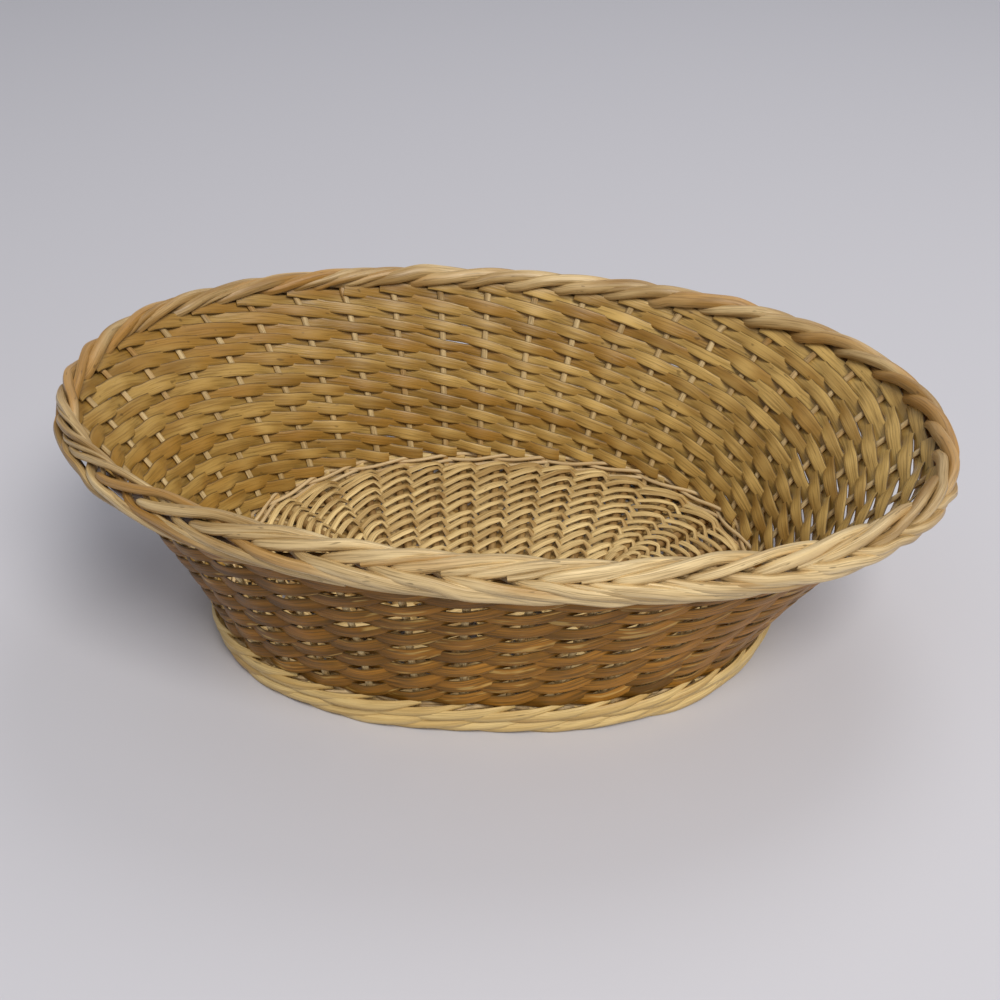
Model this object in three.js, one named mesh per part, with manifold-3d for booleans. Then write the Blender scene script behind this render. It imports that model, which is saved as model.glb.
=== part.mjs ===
// An oval willow basket with splayed sides, woven on upright stakes.
//
// Units are millimetres, +Z is up, +X runs along the basket's length. The origin lies on the
// surface the basket stands on, under the middle of the rim.
//
// How it is woven, from the table up:
//   stake pairs    long rods bent double at the foot; each leg is one upright stake, and its tip
//                  is laid down along the rim to make the rolled border
//   sticks         the ribs of the floor: cross sticks are slit in the middle, and the long sticks
//                  pass through the slits; their ends are gripped between the bends and the foot rod
//   base weavers   two flat strips woven round the sticks to make the floor
//   foot rod       one thick rod woven in and out of the stakes above the ends of the sticks
//   upsett rods    two thin rods that set the stakes upright above the foot rod
//   weaver pairs   flat split strips that climb the wall one behind the other, each passing inside
//                  one stake and outside the next (French randing)

import * as THREE from "three";
import { mergeVertices } from "three/addons/utils/BufferGeometryUtils.js";
import Module from "manifold-3d";

const wasm = await Module();
wasm.setup();

// Outline of the basket
const RIM_LENGTH = 410; // along X, on the centreline of the border
const RIM_WIDTH = 290;
const RIM_HEIGHT = 108; // border centreline above the table, half way along the basket
const RIM_TILT = -9; // how much higher the border lies at its +X end
const RIM_SQUARENESS = 2.2; // exponent of the oval: 2 is an ellipse
const BASE_LENGTH = 266; // on the centreline of the stakes where they meet the table
const BASE_WIDTH = 219;
const BASE_SQUARENESS = 2.4;
const BASE_SHIFT_X = -8; // the base sits a little to one side under the rim
const BASE_SHIFT_Y = -1;
const STRAIGHT_FLARE = 0.6; // share of the wall's splay that is straight; the rest curves outwards

// Willow sizes
const CLEARANCE = 0.4; // left between pieces that bear on each other
const STAKE_COUNT = 40;
const STAKE_DIAMETER = 4.2;
const FOOT_ROD_DIAMETER = 4;
const STICK_DIAMETER = 4.6;
const LATH_THICKNESS = 1.5; // the long sticks are shaved to this where they pass the slits
const LATH_WIDTH = 4.2;
const UPSETT_DIAMETER = 2.4;
const UPSETT_GAP = 0.5; // open band between the upsett and the wall weave
const WEAVER_WIDTH = 4.5;
const WEAVER_GAP = 0.5; // between strips where they cross between two stakes
const WEAVER_THICKNESS = 1.5;
const BASE_WEAVER_THICKNESS = 1.4;

// Counts and spacing
const CROSS_STICK_COUNT = 9;
const LONG_STICK_COUNT = 3;
const CROSS_STICK_STRIDE = 1; // gaps between stakes from one stick's end to the next
const LONG_STICK_STRIDE = 3;
const CORE_PITCH = 14; // between cross sticks at the middle of the floor
const BASE_WEAVER_GAP = 0.6; // between rows of the floor's weave
const BASE_ROUNDS = 8;
const CORE_MARGIN = 8; // left open round the core, where the ribs are too close to weave
const STICK_PROUD = 2; // how far a stick's end stands past the line of the stakes
const ROD_SIDES = 6;
const WALL_STEPS = 6; // straight pieces that a stake's curve up the wall is made of
const FOOT_BEND = 0.12; // share of the gap between two stakes that the bend at the foot takes up

// The rolled border. Each row is one point on a rod's way along the rim: how many stakes it has
// gone past, then how far outside and how far above the border's centreline it lies, in
// multiples of the stake's diameter.
const BORDER_PATH = [
  [0.0, 0.0, -0.9],
  [0.1, 0.0, 0.12],
  [0.35, -0.28, 0.76],
  [1.0, -1.22, 0.72],
  [1.5, -1.55, 0.02],
  [2.0, -1.3, -0.66],
  [2.5, 0.0, -1.32],
  [3.0, 1.3, -0.74],
  [3.5, 1.86, -0.48],
  [4.0, 2.14, 0.12],
  [4.5, 1.84, 0.72],
  [5.0, 1.24, 0.94],
  [5.4, 0.74, 0.94],
];
const BORDER_DROP = -Math.min(...BORDER_PATH.map(([, , above]) => above)) * STAKE_DIAMETER;

const WILLOW = { roughness: 0.55, metalness: 0 };
const MATERIALS = {
  stake: new THREE.MeshStandardMaterial({ color: 0xc9a35e, ...WILLOW }),
  foot: new THREE.MeshStandardMaterial({ color: 0xcfae6c, ...WILLOW }),
  stick: new THREE.MeshStandardMaterial({ color: 0xb8945a, ...WILLOW }),
  base: new THREE.MeshStandardMaterial({ color: 0xb39257, ...WILLOW }),
  upsett: new THREE.MeshStandardMaterial({ color: 0xb08d58, ...WILLOW }),
  weaver: new THREE.MeshStandardMaterial({ color: 0xb98d45, ...WILLOW }),
};

const UP = new THREE.Vector3(0, 0, 1);
const TURN = 2 * Math.PI;

// Heights of the pieces stacked at the foot
const hexFlat = Math.cos(Math.PI / ROD_SIDES); // half height of a rod lying on one of its flats
const footAxisZ = (STAKE_DIAMETER / 2) * hexFlat;
const stickHalfHeight = (STICK_DIAMETER / 2) * hexFlat;
const baseZ = 2 * footAxisZ + CLEARANCE + stickHalfHeight;
const footRodZ = baseZ + stickHalfHeight + CLEARANCE + FOOT_ROD_DIAMETER / 2;
const upsettZ = footRodZ + FOOT_ROD_DIAMETER / 2 + CLEARANCE + UPSETT_DIAMETER / 2;
const upsettPitch = UPSETT_DIAMETER + CLEARANCE;
const weaveBottomZ = upsettZ + upsettPitch + UPSETT_DIAMETER / 2 + UPSETT_GAP + WEAVER_WIDTH / 2;

// An oval as a function of the share of its perimeter walked from its +X end, anticlockwise
function makeOval(length, width, squareness, shiftX, shiftY) {
  const samples = 1440;
  const at = (angle) => {
    const c = Math.cos(angle);
    const s = Math.sin(angle);
    return new THREE.Vector2(
      shiftX + (length / 2) * Math.sign(c) * Math.abs(c) ** (2 / squareness),
      shiftY + (width / 2) * Math.sign(s) * Math.abs(s) ** (2 / squareness),
    );
  };
  const walked = [0];
  for (let i = 1; i <= samples; i++) {
    const step = at((TURN * i) / samples).distanceTo(at((TURN * (i - 1)) / samples));
    walked.push(walked[i - 1] + step);
  }
  const perimeter = walked[samples];
  const point = (share) => {
    const goal = (share - Math.floor(share)) * perimeter;
    let low = 0;
    let high = samples;
    while (high - low > 1) {
      const middle = (low + high) >> 1;
      if (walked[middle] <= goal) low = middle;
      else high = middle;
    }
    const part = (goal - walked[low]) / (walked[high] - walked[low]);
    return at((TURN * (low + part)) / samples);
  };
  return { point, perimeter };
}

const rim = makeOval(RIM_LENGTH, RIM_WIDTH, RIM_SQUARENESS, 0, 0);
const base = makeOval(BASE_LENGTH, BASE_WIDTH, BASE_SQUARENESS, BASE_SHIFT_X, BASE_SHIFT_Y);

// The wall's middle surface. walk counts stakes round the basket, rise runs from 0 at the table
// to 1 on the border's centreline.
const rimZ = (walk) => RIM_HEIGHT + (RIM_TILT * rim.point(walk / STAKE_COUNT).x) / (RIM_LENGTH / 2);
const riseAt = (walk, z) => (z - footAxisZ) / (rimZ(walk) - footAxisZ);

function wallPoint(walk, rise) {
  const low = base.point(walk / STAKE_COUNT);
  const high = rim.point(walk / STAKE_COUNT);
  const splay = STRAIGHT_FLARE * rise + (1 - STRAIGHT_FLARE) * rise * Math.max(rise, 0);
  const flat = low.lerp(high, splay);
  return new THREE.Vector3(flat.x, flat.y, footAxisZ + (rimZ(walk) - footAxisZ) * rise);
}

// Directions on the wall: along it anticlockwise, up it, and out of it
function wallFrame(walk, rise) {
  const small = 1e-3;
  const along = wallPoint(walk + small, rise).sub(wallPoint(walk - small, rise)).normalize();
  const up = wallPoint(walk, rise + small).sub(wallPoint(walk, rise - small)).normalize();
  const out = along.clone().cross(up).normalize();
  return { along, up: out.clone().cross(along).normalize(), out };
}

// Out of the wall, but level
function levelOut(walk, rise) {
  const { out } = wallFrame(walk, rise);
  return out.setZ(0).normalize();
}

// A point outside and above the border's centreline
function borderPoint(walk, outside, above) {
  const { up, out } = wallFrame(walk, 1);
  return wallPoint(walk, 1).addScaledVector(out, outside).addScaledVector(up, above);
}

const stakeSpacing = base.perimeter / STAKE_COUNT;

// How far a woven piece stands off the line of the stakes so that it clears them on the slant
function standOff(need, spacing) {
  return need / Math.sqrt(1 - ((2 * need) / spacing) ** 2);
}

// Cross-sections, as points anticlockwise round the middle
function roundSection(diameter, sides = ROD_SIDES) {
  const points = [];
  for (let i = 0; i < sides; i++) {
    const angle = (TURN * i) / sides;
    points.push([(diameter / 2) * Math.cos(angle), (diameter / 2) * Math.sin(angle)]);
  }
  return points;
}

function flatSection(thickness, width) {
  const x = thickness / 2;
  const y = width / 2;
  return [
    [x, -y],
    [x, y],
    [-x, y],
    [-x, -y],
  ];
}

// A closed solid swept along stations. A station is a point and the direction that the section's
// own x axis leans towards there. It may also say which way the sweep runs there, and how far the
// section is stretched in x and y.
function sweep(stations, section, closed = false) {
  const count = stations.length;
  const sides = section.length;
  const positions = [];
  stations.forEach(({ point, lean, tangent: given, grow = [1, 1] }, i) => {
    const before = stations[closed ? (i + count - 1) % count : Math.max(i - 1, 0)].point;
    const after = stations[closed ? (i + 1) % count : Math.min(i + 1, count - 1)].point;
    const tangent = given ?? after.clone().sub(before).normalize();
    const x = lean.clone().addScaledVector(tangent, -lean.dot(tangent)).normalize();
    const y = tangent.clone().cross(x);
    for (const [sx, sy] of section) {
      const corner = point.clone().addScaledVector(x, sx * grow[0]).addScaledVector(y, sy * grow[1]);
      positions.push(corner.x, corner.y, corner.z);
    }
  });
  const index = [];
  const rings = closed ? count : count - 1;
  for (let i = 0; i < rings; i++) {
    const next = ((i + 1) % count) * sides;
    for (let j = 0; j < sides; j++) {
      const k = (j + 1) % sides;
      index.push(i * sides + j, i * sides + k, next + k, i * sides + j, next + k, next + j);
    }
  }
  if (!closed) {
    const end = (count - 1) * sides;
    for (let j = 1; j < sides - 1; j++) {
      index.push(0, j + 1, j, end, end + j, end + j + 1);
    }
  }
  return new THREE.BufferGeometry()
    .setAttribute("position", new THREE.Float32BufferAttribute(positions, 3))
    .setIndex(index);
}

// Joins and cuts go through solids
function toSolid(geometry) {
  const plain = geometry.clone();
  plain.deleteAttribute("normal");
  plain.deleteAttribute("uv");
  const merged = mergeVertices(plain);
  return new wasm.Manifold(
    new wasm.Mesh({
      numProp: 3,
      vertProperties: merged.attributes.position.array,
      triVerts: new Uint32Array(merged.index.array),
    }),
  );
}

function toGeometry(solid) {
  const mesh = solid.getMesh();
  return new THREE.BufferGeometry()
    .setAttribute("position", new THREE.Float32BufferAttribute(mesh.vertProperties, 3))
    .setIndex(new THREE.BufferAttribute(mesh.triVerts, 1));
}

const basket = new THREE.Group();
function addPiece(name, geometry, material) {
  const mesh = new THREE.Mesh(geometry, material);
  mesh.name = name;
  basket.add(mesh);
}
const numbered = (name, i) => `${name}_${String(i + 1).padStart(2, "0")}`;

// Stakes stand half way between the whole numbers of walk, where the floor's sticks end
const stakeWalk = (i) => i + 0.5;

// One leg of a stake pair, from the bend at its foot to its tip on the border
function stakeLeg(i) {
  const walk = stakeWalk(i);
  const stations = [];
  const footRise = riseAt(walk, footAxisZ + STAKE_DIAMETER);
  for (let n = 0; n < WALL_STEPS; n++) {
    const rise = footRise + ((1 - footRise) * n) / WALL_STEPS;
    stations.push({ point: wallPoint(walk, rise), lean: wallFrame(walk, rise).out });
  }
  for (const [past, outside, above] of BORDER_PATH) {
    const point = borderPoint(walk + past, outside * STAKE_DIAMETER, above * STAKE_DIAMETER);
    stations.push({ point, lean: wallFrame(walk + past, 1).out });
  }
  return stations;
}

// Two neighbouring stakes made of one rod, which lies on the table between them
function stakePair(pair) {
  const first = stakeLeg(2 * pair);
  const second = stakeLeg(2 * pair + 1);
  const bend = [FOOT_BEND, 1 - FOOT_BEND].map((share) => {
    const walk = stakeWalk(2 * pair) + share;
    return { point: wallPoint(walk, 0), lean: levelOut(walk, 0), tangent: wallFrame(walk, 0).along };
  });
  return sweep([...first.reverse(), ...bend, ...second], roundSection(STAKE_DIAMETER));
}

// A rod woven round the whole basket at one height, inside every other stake
function wovenRing(z, diameter, firstInside) {
  const reach = standOff(STAKE_DIAMETER / 2 + CLEARANCE + diameter / 2, stakeSpacing);
  const stations = [];
  for (let i = 0; i < STAKE_COUNT; i++) {
    const walk = stakeWalk(i);
    const rise = riseAt(walk, z);
    const side = (i % 2 === 0) === firstInside ? -1 : 1;
    const lean = levelOut(walk, rise);
    const steep = 1 / wallFrame(walk, rise).up.z;
    stations.push({ point: wallPoint(walk, rise).addScaledVector(lean, side * reach * steep), lean });
  }
  return sweep(stations, roundSection(diameter), true);
}

// Where a stick's end lies, in the gap between two stakes
function stickEnd(gap) {
  const rise = riseAt(gap, baseZ);
  return wallPoint(gap, rise).addScaledVector(levelOut(gap, rise), STICK_PROUD);
}

const quarter = STAKE_COUNT / 4;
const lathPitch = LATH_WIDTH + CLEARANCE;
const slitLength = LONG_STICK_COUNT * lathPitch + CLEARANCE;
const coreHalfWidth = slitLength / 2 + STICK_DIAMETER / 2;
const coreHalfLength = ((CROSS_STICK_COUNT - 1) / 2) * CORE_PITCH + STICK_DIAMETER / 2 + CLEARANCE;
const longStickGap = (i) => LONG_STICK_STRIDE * (i - (LONG_STICK_COUNT - 1) / 2);
const crossStickGap = (i) => quarter + CROSS_STICK_STRIDE * (i - (CROSS_STICK_COUNT - 1) / 2);
const floorPoint = (x, y) => new THREE.Vector3(BASE_SHIFT_X + x, BASE_SHIFT_Y + y, baseZ);

// The gaps and core places that one floor stick runs through
function crossStickRoute(i) {
  const x = ((CROSS_STICK_COUNT - 1) / 2 - i) * CORE_PITCH;
  return [
    stickEnd(-crossStickGap(i)),
    floorPoint(x, -coreHalfWidth),
    floorPoint(x, coreHalfWidth),
    stickEnd(crossStickGap(i)),
  ];
}

function longStickRoute(i) {
  const y = (i - (LONG_STICK_COUNT - 1) / 2) * lathPitch;
  return [
    stickEnd(2 * quarter - longStickGap(i)),
    floorPoint(-coreHalfLength - STICK_DIAMETER, y),
    floorPoint(-coreHalfLength, y),
    floorPoint(coreHalfLength, y),
    floorPoint(coreHalfLength + STICK_DIAMETER, y),
    stickEnd(longStickGap(i)),
  ];
}

function crossStick(i) {
  const route = crossStickRoute(i);
  const along = new THREE.Vector3(1, 0, 0);
  const stick = sweep(route.map((point) => ({ point, lean: along })), roundSection(STICK_DIAMETER));
  const slit = new THREE.BoxGeometry(2 * STICK_DIAMETER, slitLength, LATH_THICKNESS + 2 * CLEARANCE);
  slit.translate((route[1].x + route[2].x) / 2, BASE_SHIFT_Y, baseZ);
  return toGeometry(toSolid(stick).subtract(toSolid(slit)));
}

function longStick(i) {
  const across = new THREE.Vector3(0, 1, 0);
  const round = [1, 1];
  const shaved = [LATH_WIDTH / STICK_DIAMETER, LATH_THICKNESS / (2 * stickHalfHeight)];
  const shapes = [round, shaved, shaved, shaved, shaved, round];
  const stations = longStickRoute(i).map((point, n) => ({ point, lean: across, grow: shapes[n] }));
  return sweep(stations, roundSection(STICK_DIAMETER));
}

// The floor's ribs in the order that a base weaver meets them, each from the core to its end
function floorRibs() {
  const ribs = [];
  for (let i = 0; i < LONG_STICK_COUNT; i++) {
    const route = longStickRoute(i);
    ribs.push({ gap: longStickGap(i), from: route[4], to: route[5] });
    ribs.push({ gap: 2 * quarter - longStickGap(i), from: route[1], to: route[0] });
  }
  for (let i = 0; i < CROSS_STICK_COUNT; i++) {
    const route = crossStickRoute(i);
    ribs.push({ gap: crossStickGap(i), from: route[2], to: route[3] });
    ribs.push({ gap: STAKE_COUNT - crossStickGap(i), from: route[1], to: route[0] });
  }
  return ribs.sort((a, b) => a.gap - b.gap);
}

// The places that a base weaver is led through on one round: over or under each rib, and half way
// between ribs that end more than one gap apart
function weaverPlaces() {
  const ribs = floorRibs();
  const places = [];
  ribs.forEach((rib, i) => {
    places.push({ ...rib, share: i / ribs.length, side: i % 2 === 0 ? 1 : -1 });
    const next = ribs[(i + 1) % ribs.length];
    const gaps = (next.gap - rib.gap + STAKE_COUNT) % STAKE_COUNT;
    if (gaps > 1) {
      const from = rib.from.clone().lerp(next.from, 0.5);
      places.push({ from, to: stickEnd(rib.gap + gaps / 2), share: (i + 0.5) / ribs.length, side: 0 });
    }
  });
  return places;
}

const ringReach = standOff(STAKE_DIAMETER / 2 + CLEARANCE + FOOT_ROD_DIAMETER / 2, stakeSpacing);
const floorEdge = STICK_PROUD + ringReach + FOOT_ROD_DIAMETER;

// The rows share out the way from the floor's edge to its core
function rowPitch({ from, to }) {
  const room = Math.hypot(to.x - from.x, to.y - from.y) - floorEdge - CORE_MARGIN;
  return room / (BASE_ROUNDS + 2);
}

const inwards = ({ from, to }) => from.clone().sub(to).setZ(0).normalize();

function rowPoint(place, row) {
  return place.to.clone().addScaledVector(inwards(place), floorEdge + (row + 0.5) * rowPitch(place));
}

// A flat strip that spirals inwards over and under the ribs; the second one goes the other way
function baseWeaver(which) {
  const places = weaverPlaces();
  const count = places.length;
  const need = STICK_DIAMETER / 2 + CLEARANCE + BASE_WEAVER_THICKNESS / 2;
  const stations = [];
  for (let n = 0; n <= (BASE_ROUNDS / 2) * count; n++) {
    const place = places[n % count];
    const row = which + 2 * (Math.floor(n / count) + place.share);
    const point = rowPoint(place, row);
    const [before, after] = [count - 1, 1].map((step) => {
      const near = places[(n + step) % count];
      const there = rowPoint(near, row);
      return { there, spacing: point.distanceTo(there) * (near.side === 0 ? 2 : 1) };
    });
    const reach = standOff(need, Math.min(before.spacing, after.spacing));
    const along = after.there.clone().sub(before.there).normalize();
    const width = rowPitch(place) * along.cross(inwards(place)).length() - BASE_WEAVER_GAP;
    point.z += (which === 0 ? 1 : -1) * place.side * reach;
    stations.push({ point, lean: UP, grow: [1, width] });
  }
  return sweep(stations, flatSection(BASE_WEAVER_THICKNESS, 1));
}

// Wall strips. Strip s starts inside stake s at the bottom and passes one stake for each half level.
const weaverReach = standOff(STAKE_DIAMETER / 2 + CLEARANCE + WEAVER_THICKNESS / 2, stakeSpacing);

// How far up the wall a strip lies at a level, when the weave has so many levels
function weaveRise(walk, level, levels) {
  const slant = wallPoint(walk, 1).distanceTo(wallPoint(walk, 0));
  const bottom = riseAt(walk, weaveBottomZ);
  const top = 1 - (BORDER_DROP + STAKE_DIAMETER / 2 + CLEARANCE + WEAVER_WIDTH / 2) / slant;
  return bottom + ((top - bottom) * level) / levels;
}

// The least room that a strip has between its two neighbours
function weaveRoom(levels) {
  let least = Infinity;
  for (let i = 0; i < STAKE_COUNT; i++) {
    const walk = stakeWalk(i);
    const [low, high] = [0, 0.5].map((level) => wallPoint(walk, weaveRise(walk, level, levels)));
    const next = wallPoint(walk + 1, weaveRise(walk + 1, 0, levels));
    const climb = low.distanceTo(high) / low.distanceTo(next);
    least = Math.min(least, low.distanceTo(high) / Math.hypot(1, climb));
  }
  return least;
}

let weaveLevels = 1; // how often a strip passes inside a stake on its way up
while (weaveRoom(weaveLevels + 1) > WEAVER_WIDTH + WEAVER_GAP) weaveLevels++;

function weaverStation(strip, past, level) {
  const walk = stakeWalk(strip + past);
  const rise = weaveRise(walk, level, weaveLevels);
  const { out } = wallFrame(walk, rise);
  const side = past % 2 === 0 ? -1 : 1;
  return { point: wallPoint(walk, rise).addScaledVector(out, side * weaverReach), lean: out };
}

function weaverStrip(strip, butt = []) {
  const stations = [...butt];
  for (let past = 0; past <= 2 * weaveLevels; past++) {
    stations.push(weaverStation(strip, past, past / 2));
  }
  return toSolid(sweep(stations, flatSection(WEAVER_THICKNESS, WEAVER_WIDTH)));
}

// Two neighbouring strips whose butts lie on each other inside the first one's stake
function weaverPair(pair) {
  const first = weaverStrip(2 * pair);
  const second = weaverStrip(2 * pair + 1, [weaverStation(2 * pair, 0, 0)]);
  return toGeometry(first.add(second));
}

for (let i = 0; i < STAKE_COUNT / 2; i++) {
  addPiece(numbered("stake_pair", i), stakePair(i), MATERIALS.stake);
}
addPiece("foot_rod", wovenRing(footRodZ, FOOT_ROD_DIAMETER, true), MATERIALS.foot);
for (let i = 0; i < CROSS_STICK_COUNT; i++) {
  addPiece(numbered("cross_stick", i), crossStick(i), MATERIALS.stick);
}
for (let i = 0; i < LONG_STICK_COUNT; i++) {
  addPiece(numbered("long_stick", i), longStick(i), MATERIALS.stick);
}
addPiece("base_weaver_a", baseWeaver(0), MATERIALS.base);
addPiece("base_weaver_b", baseWeaver(1), MATERIALS.base);
addPiece("upsett_rod_lower", wovenRing(upsettZ, UPSETT_DIAMETER, false), MATERIALS.upsett);
addPiece("upsett_rod_upper", wovenRing(upsettZ + upsettPitch, UPSETT_DIAMETER, true), MATERIALS.upsett);
for (let i = 0; i < STAKE_COUNT / 2; i++) {
  addPiece(numbered("weaver_pair", i), weaverPair(i), MATERIALS.weaver);
}

// The origin goes to the middle of the outline
const outline = new THREE.Box3().setFromObject(basket);
const middle = outline.getCenter(new THREE.Vector3());
basket.position.set(-middle.x, -middle.y, -outline.min.z);

export default basket;
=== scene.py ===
import math

import bpy
import numpy as np
from mathutils import Matrix, Vector


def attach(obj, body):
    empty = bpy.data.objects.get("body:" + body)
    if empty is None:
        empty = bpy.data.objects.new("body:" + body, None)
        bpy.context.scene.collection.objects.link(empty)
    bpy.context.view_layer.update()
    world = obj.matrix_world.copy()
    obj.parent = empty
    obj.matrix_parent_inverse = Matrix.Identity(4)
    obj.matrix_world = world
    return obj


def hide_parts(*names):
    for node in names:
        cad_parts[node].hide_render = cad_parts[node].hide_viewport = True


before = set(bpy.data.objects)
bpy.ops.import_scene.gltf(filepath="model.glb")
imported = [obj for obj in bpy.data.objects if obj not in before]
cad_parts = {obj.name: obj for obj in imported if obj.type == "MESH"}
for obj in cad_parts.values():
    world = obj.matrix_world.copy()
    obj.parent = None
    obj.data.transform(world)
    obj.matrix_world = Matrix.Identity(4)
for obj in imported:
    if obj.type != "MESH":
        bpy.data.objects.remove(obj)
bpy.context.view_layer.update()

# Sizes are in millimetres until a mesh is made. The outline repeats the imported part's.
MM = 0.001
TURN = 2 * math.pi
UP = np.array([0.0, 0.0, 1.0])
SEED = 11
ORIGIN = np.array([0.245, 0.015, 0.0])  # of the outlines, in the part's frame
STAKES = 40
STAKE = 4.2  # unit of the border's path
RIM_LENGTH = 410.0
RIM_WIDTH = 290.0
RIM_SQUARENESS = 2.2
RIM_HEIGHT = 108.0
RIM_TILT = -9.0  # how much higher the border's line is at the +X end than in the middle
BASE_LENGTH = 266.0
BASE_WIDTH = 219.0
BASE_SQUARENESS = 2.4
BASE_SHIFT = (-8.0, -1.0)
STRAIGHT_FLARE = 0.6  # share of the wall's splay that grows evenly, the rest grows with the square
FOOT_Z = 1.82  # of the stakes' bends
BASE_Z = 6.03  # of the floor's sticks
ROD_STEP = 2.6  # from one ring of a swept rod to the next

rng = np.random.default_rng(SEED)


class Oval:
    """A closed outline as a function of the share of its length walked anticlockwise from its +X end."""

    def __init__(self, length, width, squareness, shift=(0.0, 0.0), samples=1440):
        angle = np.linspace(0, TURN, samples + 1)
        c, s = np.cos(angle), np.sin(angle)
        x = shift[0] + length / 2 * np.sign(c) * np.abs(c) ** (2 / squareness)
        y = shift[1] + width / 2 * np.sign(s) * np.abs(s) ** (2 / squareness)
        self.points = np.stack([x, y], 1)
        steps = np.linalg.norm(np.diff(self.points, axis=0), axis=1)
        self.walked = np.concatenate([[0.0], np.cumsum(steps)])

    def point(self, share):
        goal = (share - np.floor(share)) * self.walked[-1]
        return np.stack([np.interp(goal, self.walked, self.points[:, k]) for k in (0, 1)], -1)


rim = Oval(RIM_LENGTH, RIM_WIDTH, RIM_SQUARENESS)
base = Oval(BASE_LENGTH, BASE_WIDTH, BASE_SQUARENESS, BASE_SHIFT)


def unit(v):
    return v / np.linalg.norm(v, axis=-1, keepdims=True)


def wall_point(walk, rise):
    """Points on the wall's middle surface: walk counts stakes, rise is 0 at the foot and 1 in the border."""
    walk, rise = np.broadcast_arrays(np.asarray(walk, float), np.asarray(rise, float))
    low, high = base.point(walk / STAKES), rim.point(walk / STAKES)
    splay = STRAIGHT_FLARE * rise + (1 - STRAIGHT_FLARE) * rise * np.maximum(rise, 0)
    flat = low + (high - low) * splay[..., None]
    top = RIM_HEIGHT + RIM_TILT * high[..., 0] / (RIM_LENGTH / 2)
    z = FOOT_Z + (top - FOOT_Z) * rise
    return np.concatenate([flat, z[..., None]], -1)


def wall_frame(walk, rise):
    """Directions along the wall anticlockwise, up it and out of it."""
    small = 1e-3
    walk, rise = np.broadcast_arrays(np.asarray(walk, float), np.asarray(rise, float))
    along = unit(wall_point(walk + small, rise) - wall_point(walk - small, rise))
    up = unit(wall_point(walk, rise + small) - wall_point(walk, rise - small))
    out = unit(np.cross(along, up))
    return along, np.cross(out, along), out


def rise_at(walk, z):
    top = wall_point(walk, 1.0)[..., 2]
    return (np.asarray(z, float) - FOOT_Z) / (top - FOOT_Z)


def off_wall(walk, rise, outside, above=0.0):
    """Points at distances outside the wall's middle surface and above the given rise."""
    _, up, out = wall_frame(walk, rise)
    outside, above = np.asarray(outside, float), np.asarray(above, float)
    return wall_point(walk, rise) + out * outside[..., None] + up * above[..., None]


def level_out(walk, rise):
    """Level directions out of the wall."""
    out = wall_frame(walk, rise)[2].copy()
    out[..., 2] = 0
    return unit(out)


def smooth(rows, step=None, even=None):
    """A curve through the rows, in steps of about the given length of their first three columns.

    With even given, every stretch between two rows has that many steps.
    """
    rows = np.asarray(rows, float)
    ends = np.concatenate([[2 * rows[0] - rows[1]], rows, [2 * rows[-1] - rows[-2]]])
    made = []
    for a, b, c, d in zip(ends, ends[1:], ends[2:], ends[3:]):
        count = even or max(2, int(round(np.linalg.norm((c - b)[:3]) / step)))
        t = np.linspace(0, 1, count, endpoint=False)[:, None]
        square = (2 * a - 5 * b + 4 * c - d) * t**2
        cube = (3 * b - a - 3 * c + d) * t**3
        made.append(0.5 * (2 * b + (c - a) * t + square + cube))
    return np.concatenate(made + [rows[-1:]])


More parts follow.
